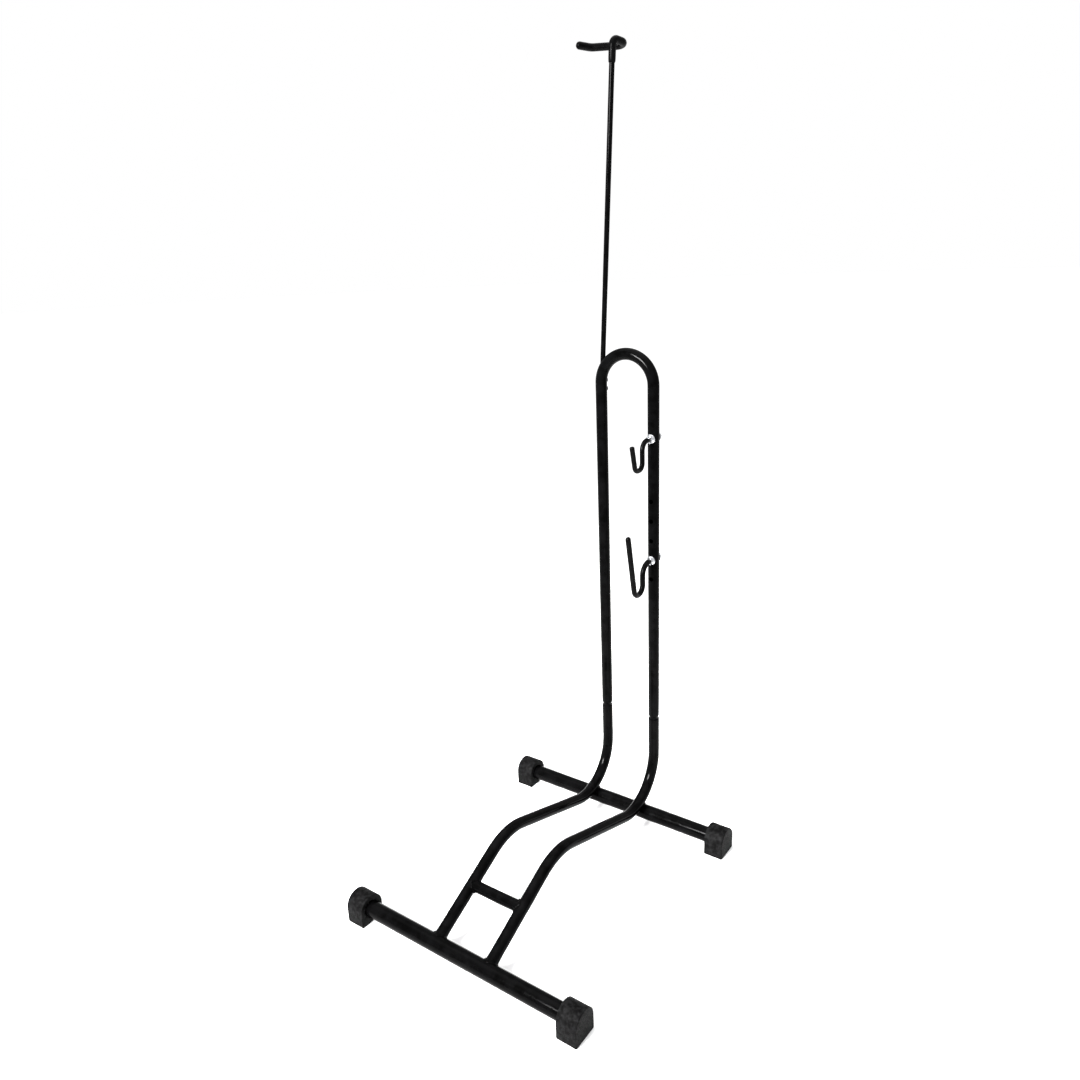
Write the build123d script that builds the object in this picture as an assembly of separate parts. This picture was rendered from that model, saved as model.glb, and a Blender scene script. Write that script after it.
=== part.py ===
from build123d import *
import os
from math import atan2, cos, pi, radians, sin, sqrt, tan

# Free-standing bicycle stand of bent steel tube, in millimetres, +Z up, front towards -Y.
# The pieces are built with the hoop's plane at Y = 0 and moved by PLAN_SHIFT when written, so that
# the origin is on the floor under the middle of the bounding box.

# Driving dimensions -----------------------------------------------------------------------------

PLAN_SHIFT = 275.1            # hoop plane to the middle of the stand's footprint

# Tube and bar sections
TUBE_R = 11.0                 # hoop and lower tubes, 22 mm tube
TUBE_WALL = 1.5
BAR_R = 15.0                  # ground bars, 30 mm tube
BAR_WALL = 1.5
LEG_X = 55.5                  # legs of the hoop and lower tubes, either side of the middle

# Ground bars and feet
FRONT_BAR_Y = -566.0
REAR_BAR_Y = -54.0
BAR_Z = 27.0
BAR_HALF = 238.0              # the bar's end inside the foot
FOOT_IN_X = 209.5
FOOT_OUT_X = 247.0
FOOT_HALF_DEPTH = 25.0
FOOT_TOP = 54.0
FOOT_LIP = 2.0                # recess around the bar in the foot's inner face
FOOT_EDGE = 1.5

# Lower tubes: corners of the bent profile before rounding, as (Y, Z)
CREST = (-359.0, 129.0)
CREST_RADIUS = 115.0
HEEL_RADIUS = 93.0
WELD_ROOT = 0.4               # gap left between the lower tube and the rear bar
SOCKET_TOP = 217.0            # open upper end of the lower tubes
SETTLING_STEPS = 60           # rounds that find the heel's corner

# Cross brace, along the straight front run of the lower tubes
BRACE_DISTANCE = 114.0
BRACE_R = 10.5
FRONT_RUN = 171.0             # a length of the straight run that reaches past the brace

WELD = 2.4                    # size of a weld bead beyond the tube's surface

# Hoop
SPIGOT_R = 9.4                # swaged end, running fit in the 9.5 mm bore of the lower tube
SPIGOT_FOOT = 138.0           # the spigots stop where the lower tubes start to bend
NECK_LENGTH = 4.5             # seen between the socket and the swage
SWAGE_LENGTH = 4.5
ARCH_Z = 896.5                # where the legs turn into the arch
HOLE_R = 4.4                  # cross holes, for an 8 mm stem
LOWER_HOOK_Z = 564.0
UPPER_HOOK_Z = 801.0
HOLE_PITCH = 39.0
EMPTY_HOLES = [LOWER_HOOK_Z + HOLE_PITCH * step for step in (-1, 1, 2, 3)]

# Mast: a straight rod in the left leg, leaning to the middle, bent to a hook at its top
MAST_R = 4.75
MAST_HOLE_R = 5.3
MAST_EXIT = (-51.0, 938.0)    # where its axis leaves the arch, as (X, Z)
MAST_SLOPE = 0.058            # X gained for each mm of Z
MAST_FOOT_Z = 800.0
MAST_TOP_Z = 1466.5
LOOP_BACK = (12.0, 44.0, -6.0)      # heading from +Y towards +X in degrees, length, rise
LOOP_ARM = (-114.0, 67.0, 1.0)
LOOP_TIP = (-158.0, 24.0, 1.5)
LOOP_RADII = (9.0, 12.0, 14.0)
SLEEVE_R = 6.25
SLEEVE_FOOT_Z = 1430.0

# Set screws that clamp the mast, with their welded nuts
SCREW_Z = (884.0, 900.0)
SCREW_R = 3.0
SCREW_CLEAR = 0.2
SCREW_PROUD = 2.0
SCREW_SOCKET_R = 1.7
SMALL_NUT_FLATS = 10.0
SMALL_NUT_HEIGHT = 5.0
SMALL_NUT_SINK = 1.0          # depth of the welded nuts' saddle around the leg

# Frame hooks
STEM_R = 4.0
STEM_BACK = 22.5
NUT_FLATS = 13.0              # M8 flange nut
NUT_HEIGHT = 8.0
NUT_GAP = 0.3                 # between the nut and the leg
NUT_CHAMFER = 0.9             # share of a nut's corners taken off at its faces
FLANGE_R = 8.95
FLANGE_RIM = 1.0
FLANGE_CONE = 2.2
SLEEVE_START = 20.6           # distance from the leg's axis to the start of a hook's sleeve
TIP_CAP = 1.5                 # sleeve beyond the end of its rod
UPPER_HOOK = dict(z=UPPER_HOOK_Z, reach=42.5, drop=49.5, width=25.5, lean=0.24, rise=46.5,
                  radii=(16.5, 11.7, 11.7), sleeve_r=4.6, round_tip=False)
LOWER_HOOK = dict(z=LOWER_HOOK_Z, reach=43.5, drop=54.0, width=30.0, lean=0.185, rise=120.0,
                  radii=(22.0, 16.0, 16.0), sleeve_r=5.2, round_tip=True)


# Shapes used more than once ---------------------------------------------------------------------

def swept(points, radii, r):
    """A round bar of radius r along a route with rounded corners."""
    route = FilletPolyline(*points, radius=list(radii))
    section = Plane(origin=route @ 0, z_dir=route % 0) * Circle(r)
    return sweep(section, path=route)


def straight(start, end, r):
    """A round bar of radius r between two points."""
    axis = Vector(*end) - Vector(*start)
    seat = Plane(origin=start, z_dir=axis)
    return seat * Cylinder(r, axis.length, align=(Align.CENTER, Align.CENTER, Align.MIN))


def pipe(outer, inner, start, end):
    """A straight tube between two points."""
    return straight(start, end, outer) - straight(start, end, inner)


def hexagon_nut(flats, height, bore_r, seat):
    """A chamfered nut that stands on the XY plane of its seat."""
    block = extrude(RegularPolygon(flats / 2, 6, major_radius=False), height)
    corner_r = flats / sqrt(3)
    dome = Cylinder(corner_r, height, align=(Align.CENTER, Align.CENTER, Align.MIN))
    dome = chamfer(dome.edges().filter_by(GeomType.CIRCLE), (corner_r - flats / 2) * NUT_CHAMFER)
    bore = Cylinder(bore_r, height, align=(Align.CENTER, Align.CENTER, Align.MIN))
    return seat * ((block & dome) - bore)


# Base -------------------------------------------------------------------------------------------

def front_slope():
    """Slope of the straight run from the front bar up to the crest."""
    return atan2(CREST[1] - BAR_Z, CREST[0] - FRONT_BAR_Y)


def heel_corner():
    """Height of the heel's corner, with its rounding resting on the rear bar."""
    reach = HEEL_RADIUS + TUBE_R + BAR_R + WELD_ROOT
    centre_z = BAR_Z + sqrt(reach ** 2 - (REAR_BAR_Y + HEEL_RADIUS) ** 2)
    corner = centre_z - HEEL_RADIUS
    for _ in range(SETTLING_STEPS):
        slope = atan2(corner - CREST[1], -CREST[0])
        corner = centre_z - HEEL_RADIUS * tan((pi / 2 - slope) / 2)
    return corner


def lower_bar(x, r):
    """A lower tube as a solid bar: front bar, crest, heel, socket top."""
    points = [(x, FRONT_BAR_Y, BAR_Z), (x, *CREST), (x, 0, heel_corner()), (x, 0, SOCKET_TOP)]
    return swept(points, (CREST_RADIUS, HEEL_RADIUS), r)


def ground_bar(y):
    start, end = (-BAR_HALF, y, BAR_Z), (BAR_HALF, y, BAR_Z)
    return pipe(BAR_R, BAR_R - BAR_WALL, start, end)


def bar_solid(y, r):
    return straight((-BAR_HALF, y, BAR_Z), (BAR_HALF, y, BAR_Z), r)


def lower_tube(x):
    return lower_bar(x, TUBE_R) - lower_bar(x, TUBE_R - TUBE_WALL) - bar_solid(FRONT_BAR_Y, BAR_R)


def run_point(x, distance):
    """A point on the axis of a lower tube's straight front run."""
    slope = front_slope()
    return (x, FRONT_BAR_Y + distance * cos(slope), BAR_Z + distance * sin(slope))


def front_run(x, r):
    """The straight front run of a lower tube as a solid bar."""
    return straight(run_point(x, 0), run_point(x, FRONT_RUN), r)


def brace_ends():
    return run_point(-LEG_X, BRACE_DISTANCE), run_point(LEG_X, BRACE_DISTANCE)


def cross_brace():
    brace = pipe(BRACE_R, BRACE_R - TUBE_WALL, *brace_ends())
    for x in (-LEG_X, LEG_X):
        brace -= front_run(x, TUBE_R)
    return brace


def front_welds():
    beads = []
    for x in (-LEG_X, LEG_X):
        bead = front_run(x, TUBE_R + WELD) & bar_solid(FRONT_BAR_Y, BAR_R + WELD)
        bead -= bar_solid(FRONT_BAR_Y, BAR_R)
        beads += (bead - front_run(x, TUBE_R)).solids()
    return Compound(children=beads)


def brace_welds():
    start, end = brace_ends()
    beads = []
    for x in (-LEG_X, LEG_X):
        bead = front_run(x, TUBE_R + WELD) & straight(start, end, BRACE_R + WELD)
        bead -= front_run(x, TUBE_R)
        bead -= straight(start, end, BRACE_R)
        beads += [part for part in bead.solids() if abs(part.center().X) < LEG_X]
    return Compound(children=beads)


def rear_welds():
    beads = []
    for x in (-LEG_X, LEG_X):
        bead = lower_bar(x, TUBE_R + WELD) & bar_solid(REAR_BAR_Y, BAR_R + WELD)
        bead -= bar_solid(REAR_BAR_Y, BAR_R)
        beads += (bead - lower_bar(x, TUBE_R)).solids()
    return Compound(children=beads)


def foot_outline():
    """A foot seen along its bar: a flat sole, upright sides and a round top."""
    half = FOOT_HALF_DEPTH
    shoulder = FOOT_TOP - half
    sides = Polyline((-half, shoulder), (-half, 0), (half, 0), (half, shoulder))
    top = ThreePointArc((half, shoulder), (0, FOOT_TOP), (-half, shoulder))
    return make_face([sides, top])


def foot(y, side):
    """A foot pushed on the end of a ground bar, with rounded outer edges."""
    seat = Plane(origin=(FOOT_IN_X, y, 0), x_dir=(0, 1, 0), z_dir=(1, 0, 0))
    block = seat * extrude(foot_outline(), FOOT_OUT_X - FOOT_IN_X)
    outer = [edge for edge in block.edges() if edge.center().X > FOOT_OUT_X - FOOT_EDGE]
    block = fillet(outer, FOOT_EDGE)
    block -= straight((FOOT_IN_X, y, BAR_Z), (BAR_HALF, y, BAR_Z), BAR_R)
    block -= straight((FOOT_IN_X, y, BAR_Z), (FOOT_IN_X + FOOT_LIP, y, BAR_Z), BAR_R + FOOT_LIP)
    return block if side > 0 else mirror(block, about=Plane.YZ)


# Hoop -------------------------------------------------------------------------------------------

def mast_point(z):
    return (MAST_EXIT[0] + (z - MAST_EXIT[1]) * MAST_SLOPE, 0, z)


def hoop_bar(r, foot_z):
    """The legs and arch as one solid bar, down to foot_z."""
    legs = [straight((x, 0, foot_z), (x, 0, ARCH_Z), r) for x in (-LEG_X, LEG_X)]
    arc = ThreePointArc((-LEG_X, 0, ARCH_Z), (0, 0, ARCH_Z + LEG_X), (LEG_X, 0, ARCH_Z))
    arch = sweep(Plane(origin=arc @ 0, z_dir=arc % 0) * Circle(r), path=arc)
    return legs[0] + arch + legs[1]


def swaged_end(x):
    """Spigot and swage at the lower end of a leg, hollow like the tube."""
    neck = SOCKET_TOP + NECK_LENGTH
    shoulder = neck + SWAGE_LENGTH
    spigot = pipe(SPIGOT_R, SPIGOT_R - TUBE_WALL, (x, 0, SPIGOT_FOOT), (x, 0, neck))
    seat = Pos(x, 0, (neck + shoulder) / 2)
    swage = seat * Cone(SPIGOT_R, TUBE_R, SWAGE_LENGTH)
    swage -= seat * Cone(SPIGOT_R - TUBE_WALL, TUBE_R - TUBE_WALL, SWAGE_LENGTH)
    return spigot + swage


def hoop_tube():
    shoulder = SOCKET_TOP + NECK_LENGTH + SWAGE_LENGTH
    tube = hoop_bar(TUBE_R, shoulder) - hoop_bar(TUBE_R - TUBE_WALL, shoulder)
    for x in (-LEG_X, LEG_X):
        tube += swaged_end(x)
    for z in EMPTY_HOLES + [LOWER_HOOK_Z, UPPER_HOOK_Z]:
        tube -= straight((LEG_X, -2 * TUBE_R, z), (LEG_X, 2 * TUBE_R, z), HOLE_R)
    for z in SCREW_Z:
        tube -= straight((-LEG_X, 0, z), (-LEG_X, 2 * TUBE_R, z), SCREW_R)
    tube -= straight(mast_point(ARCH_Z + TUBE_R), mast_point(ARCH_Z + 2 * LEG_X), MAST_HOLE_R)
    return tube


def behind_leg(y, z):
    """A seat behind the left leg that faces +Y, with a corner of the nut to each side."""
    return Plane(origin=(-LEG_X, y, z), x_dir=(1, 0, 0), z_dir=(0, 1, 0))


def mast_weld_nuts():
    nuts = []
    leg = hoop_bar(TUBE_R, SOCKET_TOP)
    height = SMALL_NUT_HEIGHT + SMALL_NUT_SINK
    for z in SCREW_Z:
        seat = behind_leg(TUBE_R - SMALL_NUT_SINK, z)
        nuts += (hexagon_nut(SMALL_NUT_FLATS, height, SCREW_R, seat) - leg).solids()
    return Compound(children=nuts)


def mast_set_screws():
    screws = []
    tip = MAST_R + SCREW_CLEAR
    end = TUBE_R + SMALL_NUT_HEIGHT + SCREW_PROUD
    for z in SCREW_Z:
        screw = straight((-LEG_X, tip, z), (-LEG_X, end, z), SCREW_R)
        socket = behind_leg(end - SCREW_PROUD, z)
        key = extrude(RegularPolygon(SCREW_SOCKET_R, 6, major_radius=False), SCREW_PROUD)
        screws += (screw - socket * key).solids()
    return Compound(children=screws)


# Mast -------------------------------------------------------------------------------------------

def mast_route():
    """Top corner, loop and tip of the mast's hook."""
    points = [mast_point(MAST_TOP_Z)]
    for heading, length, rise in (LOOP_BACK, LOOP_ARM, LOOP_TIP):
        x, y, z = points[-1]
        points.append((x + length * sin(radians(heading)), y + length * cos(radians(heading)), z + rise))
    return points


def mast_rod():
    return swept([mast_point(MAST_FOOT_Z)] + mast_route(), LOOP_RADII, MAST_R)


def mast_sleeve():
    route = [mast_point(SLEEVE_FOOT_Z)] + mast_route()
    sleeve = swept(route, LOOP_RADII, SLEEVE_R) + Pos(*route[-1]) * Sphere(SLEEVE_R)
    return sleeve - swept([mast_point(MAST_FOOT_Z)] + mast_route(), LOOP_RADII, MAST_R)


# Frame hooks ------------------------------------------------------------------------------------

def hook_route(hook):
    """Corners of a frame hook in the plane of the right leg, after its stem."""
    front = -hook["reach"]
    bottom = hook["z"] - hook["drop"]
    outer = front - hook["width"]
    tip = (LEG_X, outer - hook["rise"] * hook["lean"], bottom + hook["rise"])
    return [(LEG_X, front, hook["z"]), (LEG_X, front, bottom), (LEG_X, outer, bottom), tip]


def hook_rod(hook):
    return swept([(LEG_X, STEM_BACK, hook["z"])] + hook_route(hook), hook["radii"], STEM_R)


def hook_sleeve(hook):
    """The sleeve over a frame hook, closed beyond the rod's end with a flat or a round tip."""
    route = [(LEG_X, -SLEEVE_START, hook["z"])] + hook_route(hook)
    end = Vector(*route[-1]) + (Vector(*route[-1]) - Vector(*route[-2])).normalized() * TIP_CAP
    sleeve = swept(route[:-1] + [tuple(end)], hook["radii"], hook["sleeve_r"])
    if hook["round_tip"]:
        sleeve += Pos(*end) * Sphere(hook["sleeve_r"])
    return sleeve - hook_rod(hook)


def hook_nut(hook, side):
    """A flange nut against the front or back of the leg."""
    seat = Plane(origin=(LEG_X, side * (TUBE_R + NUT_GAP), hook["z"]), x_dir=(0, 0, 1), z_dir=(0, side, 0))
    flange = Pos(0, 0, FLANGE_RIM / 2) * Cylinder(FLANGE_R, FLANGE_RIM)
    cone = Pos(0, 0, FLANGE_RIM + FLANGE_CONE / 2) * Cone(FLANGE_R, NUT_FLATS / 2, FLANGE_CONE)
    bore = Cylinder(STEM_R, NUT_HEIGHT, align=(Align.CENTER, Align.CENTER, Align.MIN))
    return hexagon_nut(NUT_FLATS, NUT_HEIGHT, STEM_R, seat) + seat * (flange + cone - bore)


# Parts ------------------------------------------------------------------------------------------

def parts():
    made = {
        "front_bar": ground_bar(FRONT_BAR_Y),
        "rear_bar": ground_bar(REAR_BAR_Y),
        "lower_tube_left": lower_tube(-LEG_X),
        "lower_tube_right": lower_tube(LEG_X),
        "cross_brace": cross_brace(),
        "front_bar_welds": front_welds(),
        "cross_brace_welds": brace_welds(),
        "rear_bar_welds": rear_welds(),
        "hoop_tube": hoop_tube(),
        "mast_weld_nuts": mast_weld_nuts(),
        "mast_set_screws": mast_set_screws(),
        "mast_rod": mast_rod(),
        "mast_sleeve": mast_sleeve(),
    }
    for end, y in (("front", FRONT_BAR_Y), ("rear", REAR_BAR_Y)):
        for name, side in (("left", -1), ("right", 1)):
            made[f"foot_{end}_{name}"] = foot(y, side)
    for name, hook in (("upper_hook", UPPER_HOOK), ("lower_hook", LOWER_HOOK)):
        made[f"{name}_rod"] = hook_rod(hook)
        made[f"{name}_sleeve"] = hook_sleeve(hook)
        made[f"{name}_front_nut"] = hook_nut(hook, -1)
        made[f"{name}_back_nut"] = hook_nut(hook, 1)
    return made


os.makedirs("parts", exist_ok=True)
placed = {node: Pos(0, PLAN_SHIFT, 0) * shape for node, shape in parts().items()}
for node, shape in placed.items():
    export_step(shape, f"parts/{node}.step")
box = Compound(children=list(placed.values())).bounding_box()
print("box", tuple(box.min), tuple(box.max))
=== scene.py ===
from math import atan2, cos, hypot, inf, pi, radians, sin, sqrt, tan

import bmesh
import bpy
from mathutils import Matrix, Vector


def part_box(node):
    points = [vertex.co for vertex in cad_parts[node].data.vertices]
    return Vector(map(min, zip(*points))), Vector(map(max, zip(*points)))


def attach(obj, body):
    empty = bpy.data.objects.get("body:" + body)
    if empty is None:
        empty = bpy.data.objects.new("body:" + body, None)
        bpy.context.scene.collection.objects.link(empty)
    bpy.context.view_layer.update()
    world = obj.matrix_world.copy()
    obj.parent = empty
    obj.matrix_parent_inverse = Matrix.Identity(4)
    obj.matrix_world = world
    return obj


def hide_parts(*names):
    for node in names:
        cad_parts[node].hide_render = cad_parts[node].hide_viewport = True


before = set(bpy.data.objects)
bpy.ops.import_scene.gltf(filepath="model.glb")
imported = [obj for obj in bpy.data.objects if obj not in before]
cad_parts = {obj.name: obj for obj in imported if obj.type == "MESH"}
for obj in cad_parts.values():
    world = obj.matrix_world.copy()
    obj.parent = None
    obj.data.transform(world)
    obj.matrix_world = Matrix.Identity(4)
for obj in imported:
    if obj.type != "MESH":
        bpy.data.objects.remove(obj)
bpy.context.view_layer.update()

# Driving dimensions in metres ---------------------------------------------------------------------

TUBE_R = 0.011
TUBE_WALL = 0.0015
BAR_R = 0.015
BAR_WALL = 0.0015
LEG_X = 0.0555

CREST = (-0.359, 0.129)         # corner of the lower tubes, from the hoop's plane and the floor
CREST_RADIUS = 0.115
HEEL_RADIUS = 0.093
WELD_ROOT = 0.0004              # gap between a lower tube and the rear bar
SOCKET_TOP = 0.217
SOCKET_LIP = 0.0003
BRACE_DISTANCE = 0.114          # from the front bar up the lower tubes
BRACE_R = 0.0105
BRACE_SPAN = 0.03               # from the middle of the brace to its last straight ring
BEAD_R = 0.0024
BEAD_PITCH = 0.0019
BEAD_RIPPLE = 0.13              # share of a bead's radius that is lost between two ripples
BEAD_WANDER = ((0.05, 2.7, 0), (0.03, 1.1, 1))      # uneven width: share, waves per ripple, phase
BEAD_SIDE = (0.3, 0.2, 1)       # which way a bead's first facet looks
REAR_BEAD_R = BEAD_R * 1.15
REAR_BEAD_GAP = BEAD_R * 0.9    # where a rear bead runs, between the rear bar and a lower tube

SPIGOT_R = 0.0094
SPIGOT_FOOT = 0.138
SPIGOT_RING = 0.0055            # a ring this far below the sockets' mouths
NECK_LENGTH = 0.0045
SWAGE_LENGTH = 0.0045
ARCH_Z = 0.8965
HOLE_R = 0.0044
LOWER_HOOK_Z = 0.564
UPPER_HOOK_Z = 0.801
HOLE_PITCH = 0.039
HOLE_STEPS = (-1, 0, 1, 2, 3)   # the lower holes, in pitches above the lower hook

MAST_R = 0.00475
MAST_EDGE = 0.0008
MAST_EXIT = (-0.051, 0.938)     # where its axis leaves the arch, as (X, Z)
MAST_SLOPE = 0.058              # X gained for each unit of Z
MAST_FOOT_Z = 0.800
MAST_TOP_Z = 1.4665
# Wheel hook after the mast's top: heading from +Y towards +X in degrees, length, rise
LOOP = ((12, 0.044, -0.006), (-114, 0.067, 0.001), (-158, 0.024, 0.0015))
LOOP_RADII = (0.009, 0.012, 0.014)
SLEEVE_R = 0.00625
SLEEVE_FOOT_Z = 1.430
SLEEVE_THIN = 0.0004            # thickness of the sleeve's lower edge
SLEEVE_EDGE = 0.0003

SCREW_Z = (0.884, 0.900)
SCREW_R = 0.003
SCREW_END = 0.018
SCREW_POINT = 0.0008
SCREW_EDGE = 0.0004
SCREW_SOCKET_FLATS = 0.0034
SCREW_SOCKET_DEPTH = 0.002
SMALL_NUT_FLATS = 0.010
SMALL_NUT_HEIGHT = 0.005
SMALL_NUT_SINK = 0.004          # how far a welded nut reaches into the leg
SMALL_NUT_SHOULDER = 0.0005
SMALL_NUT_BORE_EDGE = 0.0004

STEM_R = 0.004
STEM_BACK = 0.0225
THREAD_PITCH = 0.00125
THREAD_DEPTH = 0.00065
THREAD_CREST_R = STEM_R - 0.00005
NUT_FLATS = 0.013
NUT_HEIGHT = 0.008
NUT_GAP = 0.0003
FLANGE_R = 0.00895
SLEEVE_START = 0.0206
TIP_CAP = 0.0015
OPEN_TIP_EDGE = 0.0009          # rounding of a flat sleeve tip
HOOK_SLEEVE_EDGE = 0.0006
HOOK_ROD_EDGE = 0.0005
STEM_GAP = 0.0005               # between the end of the thread and the start of the sleeve
UPPER_HOOK = dict(z=UPPER_HOOK_Z, reach=0.0425, drop=0.0495, width=0.0255, lean=0.24, rise=0.0465,
                  radii=(0.0165, 0.0117, 0.0117), sleeve_r=0.0046, round_tip=False)
LOWER_HOOK = dict(z=LOWER_HOOK_Z, reach=0.0435, drop=0.054, width=0.030, lean=0.185, rise=0.120,
                  radii=(0.022, 0.016, 0.016), sleeve_r=0.0052, round_tip=True)

FOOT_HALF_DEPTH = 0.025
FOOT_TOP = 0.054
FOOT_LIP = 0.002
FOOT_BORE_DEPTH = 0.0285
FOOT_EDGE = 0.0015
FOOT_INNER_EDGE = 0.0006
FOOT_CORNER = 0.0012            # rounding along the sole's edges
FOOT_CORNER_GROWTH = 0.3        # how much that rounding grows towards the end face
FOOT_SIDE_START = 0.002
FOOT_LIP_EDGE = 0.0005

FLOOR_DROP = 0.0002
FLOOR_REACH = 25.0
FLOOR_MIDDLE = 1.5
KEY_PLACE = (-0.40, -2.05, 1.70)
KEY_TARGET = (0, 0.1751, 0.5)
KEY_SIZE = (0.9, 0.6)
KEY_POWER = 50
KEY_SPREAD = radians(60)
OVERHEAD_PLACE = (-0.2, 0.2, 3.4)
OVERHEAD_TARGET = (0, 0.1, 0)
OVERHEAD_SIZE = (3.4, 3.4)
OVERHEAD_POWER = 45
SUN_STRENGTH = 0.9
SUN_ANGLE = radians(80)
WORLD_STRENGTH = 1.0
CAMERA_YAW = 0.63475
CAMERA_PITCH = 0.32366
CAMERA_ROLL = 0.04381
CAMERA_FROM_HOOP = (0.83456, -1.42447, 1.15205)
FOCAL_LENGTH = 29.6
SENSOR_WIDTH = 36

# Mesh fineness --------------------------------------------------------------------------------------

SIDES = 64                      # facets around a tube
ROD_SIDES = 40                  # facets around a hook rod or a drilled hole
NUT_SIDES = 96
BEAD_SIDES = 14
FLOOR_SIDES = 48
SPACING = 0.02                  # between rings along a straight tube
SLEEVE_SPACING = 0.006
LEG_SPACING = 0.012
ARCH_STEPS = 72
BEAD_POINTS = 240
REAR_BEAD_POINTS = 180
THREAD_ROWS = 10                # rings for each turn of the thread
THREAD_FADE = 8                 # rings over which the thread reaches its full depth
SETTLING_STEPS = 60             # rounds that find the heel's corner
FOOT_ARCH_STEPS = 48
FOOT_SIDE_STEPS = 9
FOOT_SOLE_STEPS = 12
QUARTER_STEPS = 5               # around the rounding of a foot's outer edges
INNER_QUARTER_STEPS = 3         # around the rounding of a foot's inner edge
CHAMFER_STEPS = 4
SWAGE_STEPS = 8
SHARP_ANGLE = radians(40)       # edges that turn more than this are shaded sharp
SOFT_SHARP_ANGLE = radians(60)  # the same on sleeves
BEND_STEP = radians(3)          # turn between two rings around a bend
ROD_BEND_STEP = radians(4)
LEAST_BEND_STEPS = 4
END_STEPS = 5                   # rings around a rod's rounded end
ROUND_END_STEPS = 10            # rings around a full round end
ALMOST_QUARTER = 0.49 * pi      # stops a rounded end short of its pole
ALMOST_FULL = 0.98              # share of a round end's radius that its edge takes


def middle(node, axis):
    """Where the middle of a CAD node lies along one axis."""
    low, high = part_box(node)
    return (low[axis] + high[axis]) / 2


HOOP_Y = middle("hoop_tube", 1)
FRONT_Y = middle("front_bar", 1)
REAR_Y = middle("rear_bar", 1)
BAR_Z = middle("front_bar", 2)


# Mesh building --------------------------------------------------------------------------------------

def rounded(corners, radii, step=BEND_STEP):
    """Points along a route of straight runs with its inner corners rounded to arcs."""
    corners = [Vector(corner) for corner in corners]
    points = [corners[0]]
    for before, corner, after, radius in zip(corners, corners[1:], corners[2:], radii):
        into = (corner - before).normalized()
        out = (after - corner).normalized()
        turn = into.angle(out)
        start = corner - into * radius * tan(turn / 2)
        inward = (out - into * into.dot(out)).normalized()
        count = max(LEAST_BEND_STEPS, round(turn / step))
        for k in range(count + 1):
            angle = turn * k / count
            points.append(start + radius * (into * sin(angle) + inward * (1 - cos(angle))))
    points.append(corners[-1])
    return points


def divided(start, end, spacing):
    """Points from start towards end, without the end."""
    start, end = Vector(start), Vector(end)
    count = max(1, round((end - start).length / spacing))
    return [start.lerp(end, k / count) for k in range(count)]


def frames(points, side):
    """Tangent, side and third direction at each point, carried along the route without twist."""
    made = []
    side = Vector(side)
    for k, point in enumerate(points):
        before = points[max(k - 1, 0)]
        after = points[min(k + 1, len(points) - 1)]
        tangent = (after - before).normalized()
        side = (side - tangent * side.dot(tangent)).normalized()
        made.append((point, tangent, side, tangent.cross(side)))
    return made


def circle(centre, first, second, radius, sides=SIDES):
    """Points around a centre, in the plane of two directions."""
    turns = [2 * pi * k / sides for k in range(sides)]
    return [centre + radius * (first * cos(a) + second * sin(a)) for a in turns]


def rings_along(points, radii, side=(1, 0, 0), sides=SIDES):
    """One circle at each point of a route."""
    rings = []
    for (centre, _, first, second), radius in zip(frames(points, side), radii):
        rings.append(circle(centre, first, second, radius, sides))
    return rings


def skinned(name, shells, sharp_angle=SHARP_ANGLE):
    """A mesh object of shells. Each shell is (rings, closed): a closed one joins its last ring to its
    first, and an open one is capped at both ends."""
    mesh = bpy.data.meshes.new(name)
    bm = bmesh.new()
    for rings, closed in shells:
        rows = [[bm.verts.new(point) for point in ring] for ring in rings]
        pairs = list(zip(rows, rows[1:]))
        if closed:
            pairs.append((rows[-1], rows[0]))
        for row, following in pairs:
            for k in range(len(row)):
                after = (k + 1) % len(row)
                bm.faces.new((row[k], row[after], following[after], following[k]))
        if not closed:
            bm.faces.new(list(reversed(rows[0])))
            bm.faces.new(rows[-1])
    bmesh.ops.recalc_face_normals(bm, faces=bm.faces)
    bm.to_mesh(mesh)
    bm.free()
    mesh.shade_smooth()
    mesh.set_sharp_from_angle(angle=sharp_angle)
    piece = bpy.data.objects.new(name, mesh)
    bpy.context.scene.collection.objects.link(piece)
    return piece


def eased_end(points, radii, edge, steps=END_STEPS):
    """The route's last end with its edge rounded: extra points and their radii."""
    end = points[-1]
    along = (end - points[-2]).normalized()
    base = radii[-1] - edge
    points = points[:-1]
    radii = radii[:-1]
    for k in range(steps + 1):
        angle = ALMOST_QUARTER * k / steps
        points.append(end - along * edge * (1 - sin(angle)))
        radii.append(base + edge * cos(angle))
    return points, radii


def rod_rings(points, radius, edge_start, edge_end, sides=SIDES):
    """Rings of a solid rod, with either end's edge rounded."""
    radii = [radius] * len(points)
    if edge_end:
        points, radii = eased_end(points, radii, edge_end)
    if edge_start:
        points, radii = eased_end(points[::-1], radii[::-1], edge_start)
        points, radii = points[::-1], radii[::-1]
    return rings_along(points, radii, sides=sides)


def finished(piece, body, node, material):
    """Puts a piece on its CAD body in place of its CAD node."""
    piece.data.materials.append(material)
    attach(piece, body)
    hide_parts(node)


def cylinder_rings(centre, direction, radius, length):
    """The two end rings of a cylinder around its centre."""
    centre, direction = Vector(centre), Vector(direction).normalized()
    first = direction.orthogonal().normalized()
    second = direction.cross(first)
    ends = (centre - direction * length / 2, centre + direction * length / 2)
    return [circle(end, first, second, radius, ROD_SIDES) for end in ends]


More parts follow.
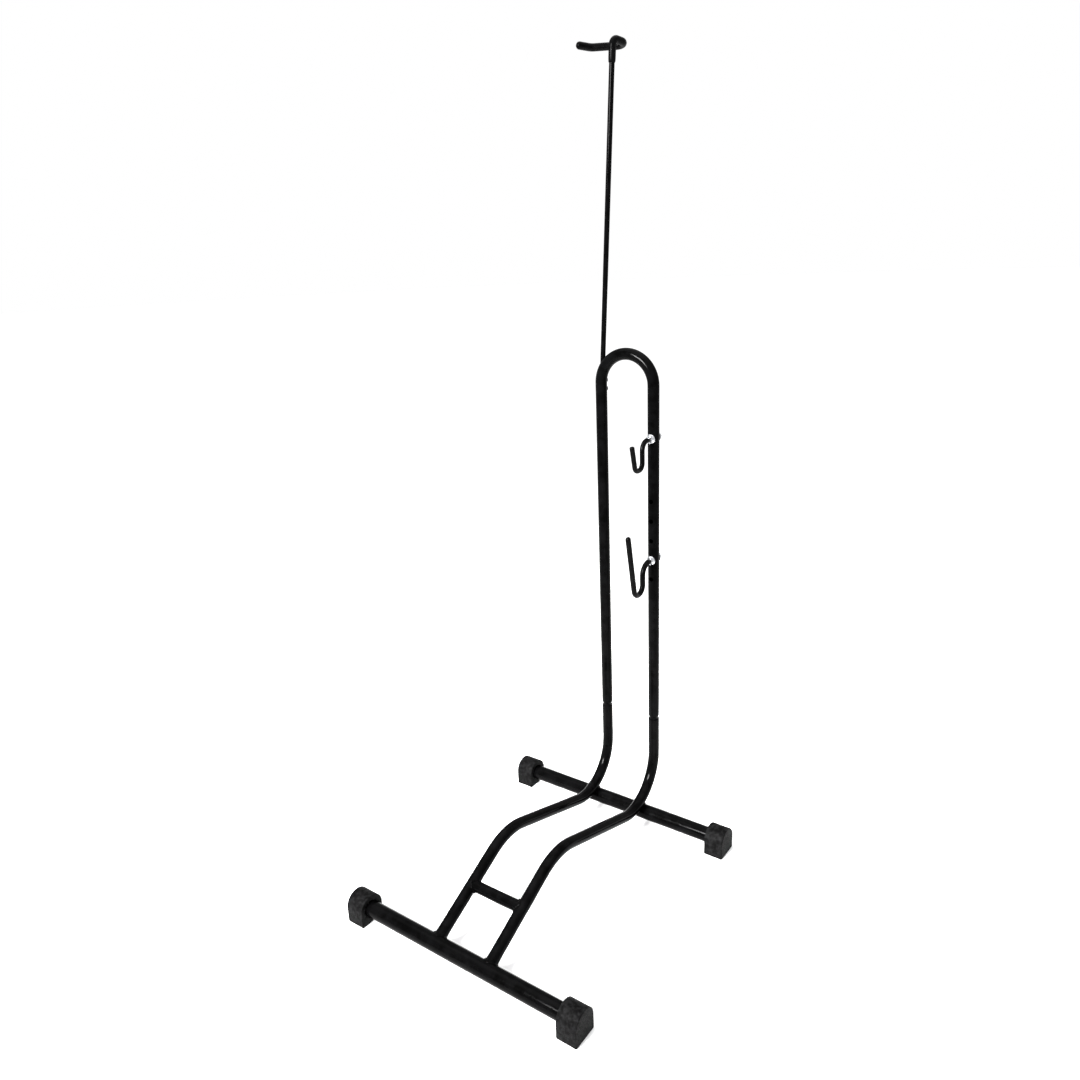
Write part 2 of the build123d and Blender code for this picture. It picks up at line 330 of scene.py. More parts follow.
def cut(piece, cutters):
    """Cuts cylinders, each (centre, direction, radius, length), out of a piece."""
    tool = skinned("cutter", [(cylinder_rings(*cutter), False) for cutter in cutters])
    boolean = piece.modifiers.new("holes", "BOOLEAN")
    boolean.object = tool
    boolean.operation = "DIFFERENCE"
    boolean.solver = "EXACT"
    graph = bpy.context.evaluated_depsgraph_get()
    mesh = bpy.data.meshes.new_from_object(piece.evaluated_get(graph))
    piece.modifiers.clear()
    piece.data = mesh
    piece.data.shade_smooth()
    piece.data.set_sharp_from_angle(angle=SHARP_ANGLE)
    bpy.data.objects.remove(tool)


# Materials --------------------------------------------------------------------------------------------

TEXTURE_LOW = 0.35              # noise values seldom fall outside these two
TEXTURE_HIGH = 0.65


class Surface:
    """A procedural material around one shader, with textures in object space."""

    def __init__(self, name, metallic=0.0, specular=0.5):
        self.material = bpy.data.materials.new(name)
        self.material.use_nodes = True
        self.nodes = self.material.node_tree.nodes
        self.links = self.material.node_tree.links
        self.shader = self.nodes["Principled BSDF"]
        self.shader.inputs["Metallic"].default_value = metallic
        self.shader.inputs["Specular IOR Level"].default_value = specular
        self.place = self.nodes.new("ShaderNodeTexCoord").outputs["Object"]
        self.last_bump = None

    def stretched(self, scale):
        """The object's coordinates scaled along each axis."""
        mapping = self.nodes.new("ShaderNodeMapping")
        mapping.inputs["Scale"].default_value = scale
        self.links.new(self.place, mapping.inputs["Vector"])
        return mapping.outputs["Vector"]

    def noise(self, scale, detail, roughness=0.5, vector=None):
        """Smooth noise, on the object's coordinates or on a vector of its own."""
        node = self.nodes.new("ShaderNodeTexNoise")
        node.inputs["Scale"].default_value = scale
        node.inputs["Detail"].default_value = detail
        node.inputs["Roughness"].default_value = roughness
        self.links.new(vector or self.place, node.inputs["Vector"])
        return node.outputs["Fac"]

    def cells(self, scale):
        """Distance from the middles of small random cells."""
        node = self.nodes.new("ShaderNodeTexVoronoi")
        node.inputs["Scale"].default_value = scale
        self.links.new(self.place, node.inputs["Vector"])
        return node.outputs["Distance"]

    def ranged(self, value, low, high):
        """A texture's middle values, stretched to run from low to high."""
        node = self.nodes.new("ShaderNodeMapRange")
        node.inputs["From Min"].default_value = TEXTURE_LOW
        node.inputs["From Max"].default_value = TEXTURE_HIGH
        node.inputs["To Min"].default_value = low
        node.inputs["To Max"].default_value = high
        self.links.new(value, node.inputs["Value"])
        return node.outputs["Result"]

    def color(self, value, dark, light, start=TEXTURE_LOW, stop=TEXTURE_HIGH):
        """A base colour that runs from dark to light with a texture's value."""
        node = self.nodes.new("ShaderNodeValToRGB")
        first, last = node.color_ramp.elements
        first.position, first.color = start, (*dark, 1)
        last.position, last.color = stop, (*light, 1)
        self.links.new(value, node.inputs["Fac"])
        self.links.new(node.outputs["Color"], self.shader.inputs["Base Color"])

    def roughness(self, value, low, high):
        self.links.new(self.ranged(value, low, high), self.shader.inputs["Roughness"])

    def bump(self, value, depth, strength):
        """A bump of a texture's value, on top of the bumps made before it."""
        node = self.nodes.new("ShaderNodeBump")
        node.inputs["Strength"].default_value = strength
        node.inputs["Distance"].default_value = depth
        self.links.new(value, node.inputs["Height"])
        if self.last_bump:
            self.links.new(self.last_bump, node.inputs["Normal"])
        self.last_bump = node.outputs["Normal"]
        self.links.new(self.last_bump, self.shader.inputs["Normal"])


def powder_coat():
    """Gloss black powder coat with faint orange peel and tone changes."""
    surface = Surface("black_powder_coat", specular=0.025)
    surface.color(surface.noise(55, 4), (0.0003, 0.0003, 0.0003), (0.0013, 0.0013, 0.0014))
    surface.roughness(surface.noise(140, 3), 0.08, 0.15)
    surface.bump(surface.noise(650, 1.5), 0.00003, 0.5)
    surface.bump(surface.noise(2200, 1), 0.000005, 0.35)
    return surface.material


def foot_rubber():
    """Matt moulded rubber, mottled, with a fine grain."""
    surface = Surface("foot_rubber", specular=0.04)
    mottling = surface.noise(160, 5, 0.62)
    surface.color(mottling, (0.0002, 0.0002, 0.0002), (0.0058, 0.0058, 0.0060), 0.42, 0.64)
    surface.roughness(surface.noise(420, 3), 0.5, 0.75)
    surface.bump(surface.cells(1500), 0.00006, 0.6)
    surface.bump(surface.noise(240, 4), 0.0001, 0.5)
    return surface.material


def vinyl():
    """Soft vinyl sleeve: satin, slightly uneven."""
    surface = Surface("black_vinyl", specular=0.035)
    surface.color(surface.noise(110, 3), (0.0003, 0.0003, 0.0003), (0.0016, 0.0016, 0.0017))
    surface.roughness(surface.noise(260, 3), 0.26, 0.42)
    surface.bump(surface.noise(420, 2), 0.00008, 0.6)
    return surface.material


def zinc():
    """Bright zinc plate with fine drawn marks and a faint cloud."""
    surface = Surface("bright_zinc", metallic=1.0)
    surface.color(surface.noise(500, 4), (0.40, 0.41, 0.43), (0.66, 0.67, 0.69))
    marks = surface.noise(900, 2, 0.6, surface.stretched((1, 9, 1)))
    surface.roughness(marks, 0.12, 0.26)
    surface.bump(marks, 0.00003, 0.5)
    return surface.material


def black_oxide():
    """Blackened screw steel with an oily sheen."""
    surface = Surface("black_oxide", metallic=0.7)
    surface.color(surface.noise(600, 3), (0.02, 0.02, 0.022), (0.05, 0.05, 0.053))
    surface.roughness(surface.noise(900, 2), 0.3, 0.5)
    surface.bump(surface.noise(2500, 1), 0.00002, 0.4)
    return surface.material


BLACK = powder_coat()
RUBBER = foot_rubber()
VINYL = vinyl()
ZINC = zinc()
OXIDE = black_oxide()


# Base ---------------------------------------------------------------------------------------------------

SLOPE = atan2(CREST[1] - BAR_Z, HOOP_Y + CREST[0] - FRONT_Y)
RUN = Vector((0, cos(SLOPE), sin(SLOPE)))


def meet_cylinder(point, direction, centre, axis, radius):
    """Where a line first meets a round bar, coming towards it from outside against its direction."""
    offset = point - centre
    across = offset - axis * offset.dot(axis)
    heading = direction - axis * direction.dot(axis)
    square = heading.dot(heading)
    mixed = across.dot(heading)
    excess = across.dot(across) - radius ** 2
    travel = (sqrt(max(mixed * mixed - square * excess, 0)) - mixed) / square
    return point + direction * travel


def ground_bar(node, y):
    """A ground bar, hollow, with its cut ends inside the feet."""
    low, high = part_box(node)
    points = divided((low.x, y, BAR_Z), (high.x, y, BAR_Z), SPACING) + [Vector((high.x, y, BAR_Z))]
    outer = rings_along(points, [BAR_R] * len(points), (0, 1, 0))
    inner = rings_along(points, [BAR_R - BAR_WALL] * len(points), (0, 1, 0))
    return skinned(f"{node}_tube", [(outer + inner[::-1], True)])


def heel_corner():
    """Height of the heel's corner, where the lower tube rests on the rear bar."""
    reach = HEEL_RADIUS + TUBE_R + BAR_R + WELD_ROOT
    centre = BAR_Z + sqrt(reach ** 2 - (HOOP_Y - HEEL_RADIUS - REAR_Y) ** 2)
    corner = centre - HEEL_RADIUS
    for _ in range(SETTLING_STEPS):
        slope = atan2(corner - CREST[1], -CREST[0])
        corner = centre - HEEL_RADIUS * tan((pi / 2 - slope) / 2)
    return corner


def coped(ring, direction, centre, axis, radius):
    """A ring slid along the tube until each point lies on a crossing bar."""
    return [meet_cylinder(point, direction, centre, axis, radius) for point in ring]


def front_bar_at(x):
    """Centre, axis and radius of the front bar, as a lower tube meets it."""
    return Vector((x, FRONT_Y, BAR_Z)), Vector((1, 0, 0)), BAR_R


def lower_tube(node, x):
    """A bent lower tube, hollow, coped on the front bar and open at its socket."""
    corners = [(x, FRONT_Y, BAR_Z), (x, HOOP_Y + CREST[0], CREST[1]),
               (x, HOOP_Y, heel_corner()), (x, HOOP_Y, SOCKET_TOP)]
    route = rounded(corners, (CREST_RADIUS, HEEL_RADIUS))
    start = Vector(corners[0]) + RUN * (BAR_R + TUBE_R)
    points = divided(start, route[1], SPACING) + route[1:-1]
    points += divided(route[-2], route[-1], SPACING)[1:] + [route[-1]]
    outer = rings_along(points, [TUBE_R] * len(points))
    inner = rings_along(points, [TUBE_R - TUBE_WALL] * len(points))
    outer.insert(0, coped(outer[0], RUN, *front_bar_at(x)))
    inner.insert(0, coped(inner[0], RUN, *front_bar_at(x)))
    rim = [points[-1] - Vector((0, 0, SOCKET_LIP)), points[-1]]
    outer = outer[:-1] + rings_along(rim, [TUBE_R, TUBE_R - SOCKET_LIP])
    return skinned(f"{node}_bent", [(outer + inner[::-1], True)])


def brace_line():
    """Middle and direction of the cross brace."""
    centre = Vector((0, FRONT_Y, BAR_Z)) + RUN * BRACE_DISTANCE
    return centre, Vector((1, 0, 0))


def brace_end(ring, side):
    """A ring of the brace slid outwards until it lies on a lower tube."""
    centre = Vector((side * LEG_X, FRONT_Y, BAR_Z))
    return coped(ring, Vector((-side, 0, 0)), centre, RUN, TUBE_R)


def cross_brace():
    """The brace, hollow, coped on both lower tubes."""
    centre, axis = brace_line()
    first, second = Vector((0, 1, 0)), Vector((0, 0, 1))
    span = [centre + axis * BRACE_SPAN * share for share in (-1, -1 / 3, 1 / 3, 1)]
    outer = [circle(point, first, second, BRACE_R) for point in span]
    inner = [circle(point, first, second, BRACE_R - TUBE_WALL) for point in span]
    outer = [brace_end(outer[0], -1)] + outer + [brace_end(outer[-1], 1)]
    inner = [brace_end(inner[0], -1)] + inner + [brace_end(inner[-1], 1)]
    return skinned("cross_brace_tube", [(outer + inner[::-1], True)])


def bead(loop, radius=BEAD_R):
    """Rings of a weld bead around a closed loop, with the ripples of a hand-laid weld."""
    lengths = [0.0]
    for point, following in zip(loop, loop[1:] + loop[:1]):
        lengths.append(lengths[-1] + (following - point).length)
    count = round(lengths[-1] / BEAD_PITCH)
    rings = []
    side = Vector(BEAD_SIDE)
    for k, point in enumerate(loop):
        tangent = (loop[(k + 1) % len(loop)] - loop[k - 1]).normalized()
        first = (side - tangent * side.dot(tangent)).normalized()
        phase = count * lengths[k] / lengths[-1]
        ripple = 1 - BEAD_RIPPLE * (phase % 1.0) ** 2
        wander = 1 + sum(share * sin(waves * phase + start) for share, waves, start in BEAD_WANDER)
        rings.append(circle(point, first, tangent.cross(first), radius * ripple * wander, BEAD_SIDES))
    return rings


def front_welds():
    """Beads around the lower ends of the lower tubes, on the front bar."""
    shells = []
    for x in (-LEG_X, LEG_X):
        centre, axis, radius = front_bar_at(x)
        ring = circle(centre + RUN * (BAR_R + TUBE_R), axis, RUN.cross(axis), TUBE_R, BEAD_POINTS)
        shells.append((bead(coped(ring, RUN, centre, axis, radius)), True))
    return skinned("front_bar_weld_beads", shells, pi)


def brace_welds():
    """Beads around both ends of the brace."""
    centre, axis = brace_line()
    shells = []
    for side in (-1, 1):
        start = centre + axis * side * BRACE_SPAN
        ring = circle(start, Vector((0, 1, 0)), Vector((0, 0, 1)), BRACE_R, BEAD_POINTS)
        shells.append((bead(brace_end(ring, side)), True))
    return skinned("cross_brace_weld_beads", shells, pi)


def rear_welds():
    """Beads around the patch where each lower tube rests on the rear bar."""
    half_x = sqrt(2 * TUBE_R * REAR_BEAD_GAP)
    half_y = sqrt(2 * REAR_BEAD_GAP / (1 / BAR_R + 1 / (HEEL_RADIUS + TUBE_R)))
    shells = []
    for x in (-LEG_X, LEG_X):
        loop = []
        for k in range(REAR_BEAD_POINTS):
            angle = 2 * pi * k / REAR_BEAD_POINTS
            y = half_y * sin(angle)
            z = BAR_Z + sqrt(BAR_R ** 2 - y ** 2) + REAR_BEAD_GAP / 2
            loop.append(Vector((x + half_x * cos(angle), REAR_Y + y, z)))
        shells.append((bead(loop, REAR_BEAD_R), True))
    return skinned("rear_bar_weld_beads", shells, pi)


def quarter_turns(steps):
    """Angles from nought to a quarter turn."""
    return [(pi / 2) * k / steps for k in range(steps + 1)]


def foot_outline(inset):
    """A foot's D-shaped outline seen along its bar, as (y, z) from the bar's centre and the floor."""
    half = FOOT_HALF_DEPTH - inset
    shoulder = FOOT_TOP - FOOT_HALF_DEPTH
    corner = FOOT_CORNER + inset * FOOT_CORNER_GROWTH
    turns = quarter_turns(QUARTER_STEPS)
    right = [(half - corner + corner * sin(a), inset + corner - corner * cos(a)) for a in turns]
    left = [(-y, z) for y, z in reversed(right)]
    sole_shares = [2 * k / FOOT_SOLE_STEPS - 1 for k in range(1, FOOT_SOLE_STEPS)]
    sole = [((half - corner) * share, inset) for share in sole_shares]
    low = inset + FOOT_SIDE_START
    wall = [low + (shoulder - low) * k / FOOT_SIDE_STEPS for k in range(FOOT_SIDE_STEPS)]
    arch_turns = [pi * k / FOOT_ARCH_STEPS for k in range(FOOT_ARCH_STEPS + 1)]
    arch = [(half * cos(a), shoulder + half * sin(a)) for a in arch_turns]
    return left + sole + right + [(half, z) for z in wall] + arch + [(-half, z) for z in reversed(wall)]


def foot(node, y, side):
    """A push-on foot: outer face, rounded edges, body, and the recess that takes the bar."""
    low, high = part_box(node)
    inner_x = low.x if side > 0 else high.x
    length = high.x - low.x
    base = foot_outline(0)

    def d_ring(distance, inset):
        return [Vector((inner_x + side * distance, y + py, pz)) for py, pz in foot_outline(inset)]

    def round_ring(distance, radius):
        ring = []
        for py, pz in base:
            reach = hypot(py, pz - BAR_Z)
            ring.append(Vector((inner_x + side * distance, y + py * radius / reach,
                                BAR_Z + (pz - BAR_Z) * radius / reach)))
        return ring

    rings = []
    for angle in quarter_turns(QUARTER_STEPS):
        rings.append(d_ring(length - FOOT_EDGE * (1 - cos(angle)), FOOT_EDGE * (1 - sin(angle))))
    rings.append(d_ring(length / 2, 0))
    for angle in quarter_turns(INNER_QUARTER_STEPS):
        rings.append(d_ring(FOOT_INNER_EDGE * (1 - sin(angle)), FOOT_INNER_EDGE * (1 - cos(angle))))
    rings.append(round_ring(0, BAR_R + FOOT_LIP + FOOT_LIP_EDGE))
    rings.append(round_ring(FOOT_LIP_EDGE, BAR_R + FOOT_LIP))
    rings.append(round_ring(FOOT_LIP, BAR_R + FOOT_LIP))
    rings.append(round_ring(FOOT_LIP, BAR_R))
    rings.append(round_ring(FOOT_BORE_DEPTH, BAR_R))
    return skinned(f"{node}_moulded", [(rings, False)])


# Hoop ---------------------------------------------------------------------------------------------------

def hoop_point(x, z):
    """A point in the hoop's plane."""
    return Vector((x, HOOP_Y, z))


def leg_stations():
    """Heights and radii up a leg, from the end of the spigot to the arch."""
    neck = SOCKET_TOP + NECK_LENGTH
    shoulder = neck + SWAGE_LENGTH
    stations = [(SPIGOT_FOOT, SPIGOT_R), (SOCKET_TOP - SPIGOT_RING, SPIGOT_R)]
    for k in range(SWAGE_STEPS + 1):
        blend = k / SWAGE_STEPS
        eased = blend * blend * (3 - 2 * blend)
        stations.append((neck + SWAGE_LENGTH * blend, SPIGOT_R + (TUBE_R - SPIGOT_R) * eased))
    count = round((ARCH_Z - shoulder) / LEG_SPACING)
    stations += [(shoulder + (ARCH_Z - shoulder) * k / count, TUBE_R) for k in range(1, count)]
    return stations


def hoop_tube():
    """The bent hoop, hollow, with its cross holes. The mast goes through the closed wall of its left
    shoulder, where the CAD has a hole."""
    stations = leg_stations()
    turns = [pi * k / ARCH_STEPS for k in range(ARCH_STEPS + 1)]
    points = [hoop_point(-LEG_X, z) for z, _ in stations]
    points += [hoop_point(-LEG_X * cos(a), ARCH_Z + LEG_X * sin(a)) for a in turns]
    points += [hoop_point(LEG_X, z) for z, _ in reversed(stations)]
    leg_radii = [r for _, r in stations]
    radii = leg_radii + [TUBE_R] * len(turns) + leg_radii[::-1]
    outer = rings_along(points, radii, (0, 1, 0))
    inner = rings_along(points, [r - TUBE_WALL for r in radii], (0, 1, 0))
    piece = skinned("hoop_bent_tube", [(outer + inner[::-1], True)])
    heights = [LOWER_HOOK_Z + HOLE_PITCH * step for step in HOLE_STEPS] + [UPPER_HOOK_Z]
    cut(piece, [(hoop_point(LEG_X, z), (0, 1, 0), HOLE_R, 4 * TUBE_R) for z in heights])
    return piece


# Fasteners ------------------------------------------------------------------------------------------------

HEX_SOFTNESS = 0.06             # how far a hexagon's corners are rounded
CHAMFER_BITE = 0.95             # share of a nut's corners that its chamfer takes off
CHAMFER_SLOPE = 0.6             # height of the chamfer for each unit of its bite
FLANGE_PROFILE = ((STEM_R, 0), (FLANGE_R - 0.0004, 0), (FLANGE_R, 0.0003), (FLANGE_R, 0.0008),
                  (FLANGE_R - 0.0003, 0.0012), (NUT_FLATS / 2 + 0.0014, 0.0024))
NUT_SHOULDER = 0.0031           # where the hexagon starts above the flange
NUT_BORE_EDGE = 0.0005


def hex_reach(flats, angle):
    """Distance from a hexagon's centre to its edge, with its corners slightly rounded."""
    turn = (angle + pi / 6) % (pi / 3) - pi / 6
    corner = 1 / cos(turn)
    limit = 1 / cos(pi / 6)
    return flats / 2 * (corner - HEX_SOFTNESS * max(0, corner - 1) ** 2 / (limit - 1))


def nut_ring(seat, height, reach_at):
    """A ring at one height, whose reach from the axis depends on the angle."""
    ring = []
    for k in range(NUT_SIDES):
        angle = 2 * pi * k / NUT_SIDES
        reach = reach_at(angle)
        ring.append(seat @ Vector((reach * cos(angle), reach * sin(angle), height)))
    return ring


def nut_hexagon(seat, flats, height, limit=inf):
    """A hexagon at one height of a nut, cut by its chamfer's circle."""
    return nut_ring(seat, height, lambda angle: min(hex_reach(flats, angle), limit))


def nut_circle(seat, radius, height):
    """A circle at one height of a nut or screw."""
    return nut_ring(seat, height, lambda angle: radius)


def seat_matrix(origin, out, first):
    """A seat whose +Z looks along out and whose +X looks along first."""
    out, first = Vector(out), Vector(first)
    return Matrix.Translation(origin) @ Matrix((first, out.cross(first), out)).transposed().to_4x4()


def chamfered_levels(flats, height, base):
    """Heights and chamfer circles from a nut's shoulder to its face."""
    corner = flats / sqrt(3)
    bite = (corner - flats / 2) * CHAMFER_BITE
    levels = [(base, corner)]
    for k in range(CHAMFER_STEPS + 1):
        taken = bite * k / CHAMFER_STEPS
        levels.append((height - (bite - taken) * CHAMFER_SLOPE, corner - taken))
    return levels


def flange_nut_rings(seat):
    """A flange nut from its seat up to its face and into its bore."""
    rings = [nut_circle(seat, radius, height) for radius, height in FLANGE_PROFILE]
    for height, limit in chamfered_levels(NUT_FLATS, NUT_HEIGHT, NUT_SHOULDER):
        rings.append(nut_hexagon(seat, NUT_FLATS, height, limit))
    rings.append(nut_circle(seat, STEM_R + NUT_BORE_EDGE, NUT_HEIGHT))
    rings.append(nut_circle(seat, STEM_R, NUT_HEIGHT - NUT_BORE_EDGE))
    return rings


def small_nut_rings(seat):
    """A plain nut from its sunken back up to its face and into its bore."""
    rings = [nut_circle(seat, SCREW_R, -SMALL_NUT_SINK)]
    rings.append(nut_hexagon(seat, SMALL_NUT_FLATS, -SMALL_NUT_SINK))
    for height, limit in chamfered_levels(SMALL_NUT_FLATS, SMALL_NUT_HEIGHT, SMALL_NUT_SHOULDER):
        rings.append(nut_hexagon(seat, SMALL_NUT_FLATS, height, limit))
    rings.append(nut_circle(seat, SCREW_R + SMALL_NUT_BORE_EDGE, SMALL_NUT_HEIGHT))
    rings.append(nut_circle(seat, SCREW_R, SMALL_NUT_HEIGHT - SMALL_NUT_BORE_EDGE))
    return rings


def mast_weld_nuts():
    """The two nuts welded behind the left leg."""
    shells = []
    for z in SCREW_Z:
        seat = seat_matrix((-LEG_X, HOOP_Y + TUBE_R, z), (0, 1, 0), (1, 0, 0))
        shells.append((small_nut_rings(seat), True))
    return skinned("mast_weld_nuts_hex", shells)


def mast_set_screws():
    """Set screws with a rounded point and a hexagon socket."""
    shells = []
    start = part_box("mast_set_screws")[0].y - HOOP_Y
    for z in SCREW_Z:
        seat = seat_matrix((-LEG_X, HOOP_Y, z), (0, 1, 0), (1, 0, 0))
        rings = [nut_circle(seat, SCREW_R - SCREW_POINT, start)]
        rings.append(nut_circle(seat, SCREW_R, start + SCREW_POINT))
        rings.append(nut_circle(seat, SCREW_R, SCREW_END - SCREW_EDGE))
        rings.append(nut_circle(seat, SCREW_R - SCREW_EDGE, SCREW_END))
        rings.append(nut_hexagon(seat, SCREW_SOCKET_FLATS, SCREW_END))
        rings.append(nut_hexagon(seat, SCREW_SOCKET_FLATS, SCREW_END - SCREW_SOCKET_DEPTH))
        shells.append((rings, False))
    return skinned("mast_set_screws_socket", shells)


# Mast -----------------------------------------------------------------------------------------------------

def mast_point(z):
    """The axis of the leaning mast at one height."""
    return Vector((MAST_EXIT[0] + (z - MAST_EXIT[1]) * MAST_SLOPE, HOOP_Y, z))


def mast_route(start_z):
    """The mast from a height up, round its wheel hook to the tip."""
    corners = [mast_point(start_z), mast_point(MAST_TOP_Z)]
    for heading, length, rise in LOOP:
        step = Vector((length * sin(radians(heading)), length * cos(radians(heading)), rise))
        corners.append(corners[-1] + step)
    return rounded(corners, LOOP_RADII, ROD_BEND_STEP)


def mast_rod():
    """The whole mast, from inside the leg to the tip of its wheel hook."""
    route = mast_route(MAST_FOOT_Z)
    points = divided(route[0], route[1], SPACING) + route[1:]
    return skinned("mast_bent_rod", [(rod_rings(points, MAST_R, MAST_EDGE, MAST_EDGE), False)])


def mast_sleeve():
    """The dipped sleeve of the wheel hook, thinning at its lower edge, with a full round tip."""
    route = mast_route(SLEEVE_FOOT_Z)
    points = divided(route[0], route[1], SLEEVE_SPACING) + route[1:]
    tip = points[-1] + (points[-1] - points[-2]).normalized() * SLEEVE_R
    radii = [SLEEVE_R] * (len(points) + 1)
    points, radii = eased_end(points + [tip], radii, SLEEVE_R * ALMOST_FULL, ROUND_END_STEPS)
    radii[0] = MAST_R + SLEEVE_THIN
    points.insert(1, points[0].lerp(points[1], 1 / 4))
    radii.insert(1, SLEEVE_R - SLEEVE_EDGE)
    return skinned("mast_hook_sleeve", [(rings_along(points, radii), False)], SOFT_SHARP_ANGLE)


# Frame hooks ------------------------------------------------------------------------------------------------

def hook_point(y, z):
    """A point in the upright plane of the right leg's hooks, from the hoop's plane."""
    return Vector((LEG_X, HOOP_Y + y, z))


def hook_corners(hook, start):
    """Corners of a frame hook, from a distance along its stem to its tip."""
    front = -hook["reach"]
    bottom = hook["z"] - hook["drop"]
    outer = front - hook["width"]
    tip = hook_point(outer - hook["rise"] * hook["lean"], bottom + hook["rise"])
    return [hook_point(start, hook["z"]), hook_point(front, hook["z"]), hook_point(front, bottom),
            hook_point(outer, bottom), tip]


def threaded_rings(start, end, z):
    """Rings of the threaded stem from one Y to another, as one helical groove."""
    count = round(abs(end - start) / THREAD_PITCH * THREAD_ROWS)
    rings = []
    for row in range(count + 1):
        y = start + (end - start) * row / count
        fade = min(1, row / THREAD_FADE)
        ring = []
        for k in range(ROD_SIDES):
            angle = 2 * pi * k / ROD_SIDES
            phase = (y / THREAD_PITCH + k / ROD_SIDES) % 1
            radius = THREAD_CREST_R - fade * THREAD_DEPTH * (1 - abs(2 * phase - 1))
            ring.append(hook_point(y, z) + Vector((radius * cos(angle), 0, radius * sin(angle))))
        rings.append(ring)
    return rings


def hook_rod(name, hook):
    """The bent rod with a threaded stem, inside its sleeve in front of the leg."""
    route = rounded(hook_corners(hook, -SLEEVE_START), hook["radii"], ROD_BEND_STEP)
    plain = rod_rings(route, THREAD_CREST_R, 0, HOOK_ROD_EDGE, sides=ROD_SIDES)
    stem = threaded_rings(STEM_BACK, -SLEEVE_START + STEM_GAP, hook["z"])
    return skinned(f"{name}_bent_rod", [(plain, False), (stem, False)])


def hook_sleeve(name, hook):
    """The vinyl sleeve over a frame hook, with a flat or a round tip."""
    route = rounded(hook_corners(hook, -SLEEVE_START), hook["radii"])
    radius = hook["sleeve_r"]
    edge = radius * ALMOST_FULL if hook["round_tip"] else OPEN_TIP_EDGE
    beyond = TIP_CAP + (radius if hook["round_tip"] else 0)
    route[-1] = route[-1] + (route[-1] - route[-2]).normalized() * beyond
    rings = rod_rings(route, radius, HOOK_SLEEVE_EDGE, edge)
    return skinned(f"{name}_vinyl_sleeve", [(rings, False)], SOFT_SHARP_ANGLE)


def hook_nut(name, hook, side):
    """A flange nut against the front or back of the leg."""
    seat = seat_matrix(hook_point(side * (TUBE_R + NUT_GAP), hook["z"]), (0, side, 0), (0, 0, 1))
    return skinned(f"{name}_flange_nut", [(flange_nut_rings(seat), True)])


# Object -----------------------------------------------------------------------------------------------------

for bar_node, bar_y in (("front_bar", FRONT_Y), ("rear_bar", REAR_Y)):
    finished(ground_bar(bar_node, bar_y), "base", bar_node, BLACK)
for tube_node, tube_x in (("lower_tube_left", -LEG_X), ("lower_tube_right", LEG_X)):
    finished(lower_tube(tube_node, tube_x), "base", tube_node, BLACK)
finished(cross_brace(), "base", "cross_brace", BLACK)
finished(front_welds(), "base", "front_bar_welds", BLACK)
finished(brace_welds(), "base", "cross_brace_welds", BLACK)
finished(rear_welds(), "base", "rear_bar_welds", BLACK)
for end_name, end_y in (("front", FRONT_Y), ("rear", REAR_Y)):
    for side_name, side_sign in (("left", -1), ("right", 1)):
        foot_node = f"foot_{end_name}_{side_name}"
        finished(foot(foot_node, end_y, side_sign), "base", foot_node, RUBBER)

finished(hoop_tube(), "hoop", "hoop_tube", BLACK)
finished(mast_weld_nuts(), "hoop", "mast_weld_nuts", BLACK)
finished(mast_set_screws(), "hoop", "mast_set_screws", OXIDE)
finished(mast_rod(), "mast", "mast_rod", BLACK)
finished(mast_sleeve(), "mast", "mast_sleeve", VINYL)

for hook_name, hook_sizes in (("upper_hook", UPPER_HOOK), ("lower_hook", LOWER_HOOK)):
    finished(hook_rod(hook_name, hook_sizes), hook_name, f"{hook_name}_rod", ZINC)
    finished(hook_sleeve(hook_name, hook_sizes), hook_name, f"{hook_name}_sleeve", VINYL)
    for place, facing in (("front", -1), ("back", 1)):
        nut = hook_nut(f"{hook_name}_{place}", hook_sizes, facing)
        finished(nut, hook_name, f"{hook_name}_{place}_nut", ZINC)


# Stage, lights and camera -----------------------------------------------------------------------------------

def pale_floor():
    """A wide pale floor just under the soles."""
    centre, right, back = Vector((0, 0, -FLOOR_DROP)), Vector((1, 0, 0)), Vector((0, 1, 0))
    rings = [circle(centre, right, back, reach, FLOOR_SIDES) for reach in (FLOOR_MIDDLE, FLOOR_REACH)]
    faces = [tuple(range(FLOOR_SIDES))]
    for k in range(FLOOR_SIDES):
        after = (k + 1) % FLOOR_SIDES
        faces.append((k, FLOOR_SIDES + k, FLOOR_SIDES + after, after))
    mesh = bpy.data.meshes.new("studio_floor")
    mesh.from_pydata(rings[0] + rings[1], [], faces)
    floor = bpy.data.objects.new("studio_floor", mesh)
    bpy.context.scene.collection.objects.link(floor)
    surface = Surface("pale_floor", specular=0.1)
    surface.color(surface.noise(0.7, 2), (0.90, 0.90, 0.90), (0.92, 0.92, 0.92))
    surface.roughness(surface.noise(2, 2), 0.7, 0.8)
    mesh.materials.append(surface.material)


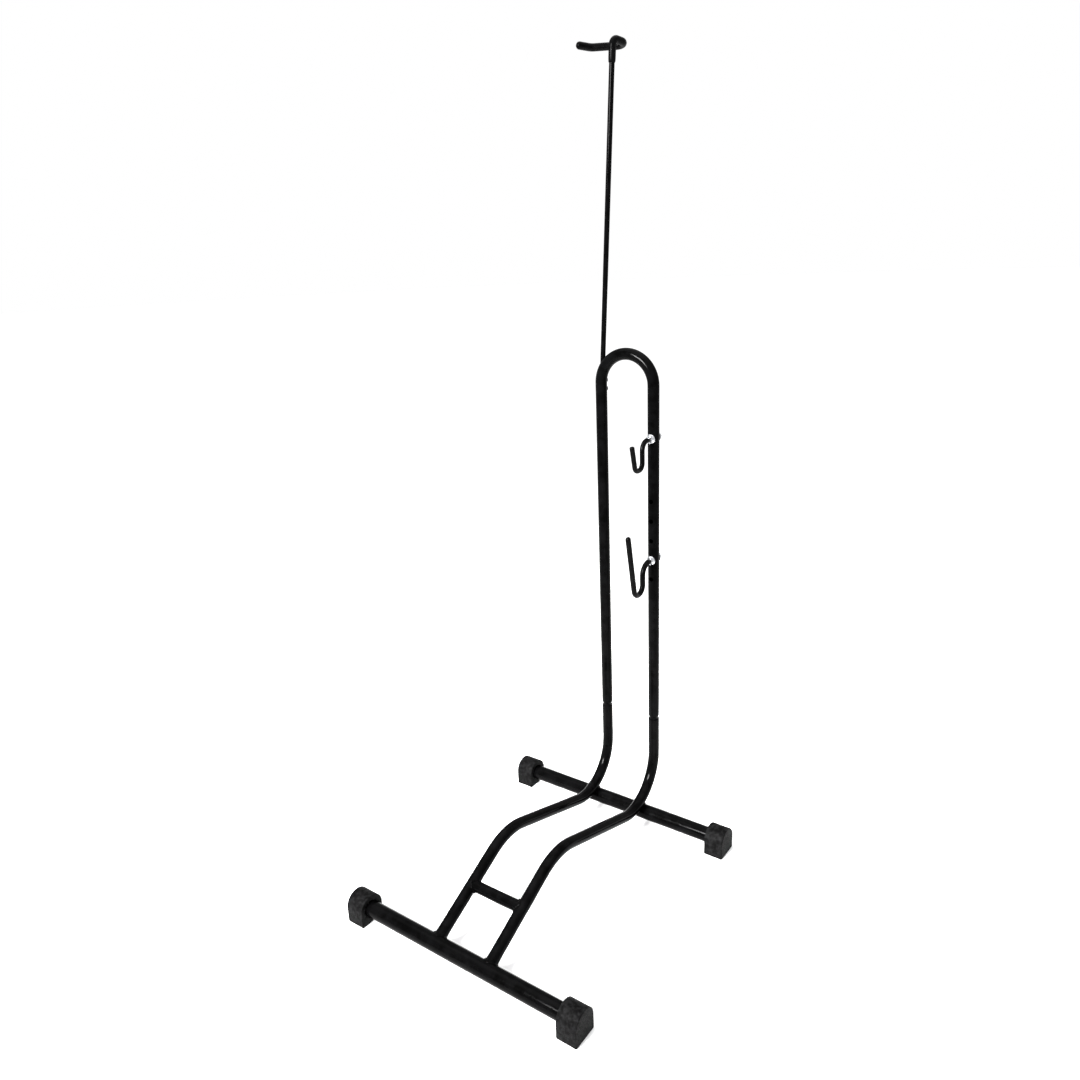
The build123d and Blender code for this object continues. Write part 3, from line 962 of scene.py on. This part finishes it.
def area_light(name, place, target, size, power, spread=pi):
    """A softbox aimed at a target, with a grid where its spread is narrow."""
    data = bpy.data.lights.new(name, "AREA")
    data.shape = "RECTANGLE"
    data.size, data.size_y = size
    data.energy = power
    data.spread = spread
    light = bpy.data.objects.new(name, data)
    bpy.context.scene.collection.objects.link(light)
    light.location = place
    light.rotation_euler = (Vector(target) - Vector(place)).to_track_quat("-Z", "Y").to_euler()


def soft_sun():
    """Even soft light from straight above."""
    data = bpy.data.lights.new("soft_sun", "SUN")
    data.energy = SUN_STRENGTH
    data.angle = SUN_ANGLE
    light = bpy.data.objects.new("soft_sun", data)
    bpy.context.scene.collection.objects.link(light)


def studio_world():
    """An even white surround."""
    world = bpy.data.worlds.new("studio")
    bpy.context.scene.world = world
    world.use_nodes = True
    background = world.node_tree.nodes["Background"]
    background.inputs["Color"].default_value = (1, 1, 1, 1)
    background.inputs["Strength"].default_value = WORLD_STRENGTH


def photo_camera():
    """The camera in front of the stand, to its right and above it, aimed by yaw, pitch and roll."""
    look = Vector((-sin(CAMERA_YAW) * cos(CAMERA_PITCH), cos(CAMERA_YAW) * cos(CAMERA_PITCH),
                   -sin(CAMERA_PITCH)))
    level = Vector((cos(CAMERA_YAW), sin(CAMERA_YAW), 0))
    down = look.cross(level)
    right = level * cos(CAMERA_ROLL) + down * sin(CAMERA_ROLL)
    up = level * sin(CAMERA_ROLL) - down * cos(CAMERA_ROLL)
    data = bpy.data.cameras.new("camera")
    data.lens = FOCAL_LENGTH
    data.sensor_width = SENSOR_WIDTH
    camera = bpy.data.objects.new("camera", data)
    bpy.context.scene.collection.objects.link(camera)
    spin = Matrix((right, up, -look)).transposed().to_4x4()
    x, y, z = CAMERA_FROM_HOOP
    camera.matrix_world = Matrix.Translation((x, y + HOOP_Y, z)) @ spin
    bpy.context.scene.camera = camera


pale_floor()
photo_camera()
studio_world()
area_light("key", KEY_PLACE, KEY_TARGET, KEY_SIZE, KEY_POWER, KEY_SPREAD)
area_light("overhead", OVERHEAD_PLACE, OVERHEAD_TARGET, OVERHEAD_SIZE, OVERHEAD_POWER)
soft_sun()
bpy.context.scene.view_settings.view_transform = "Standard"
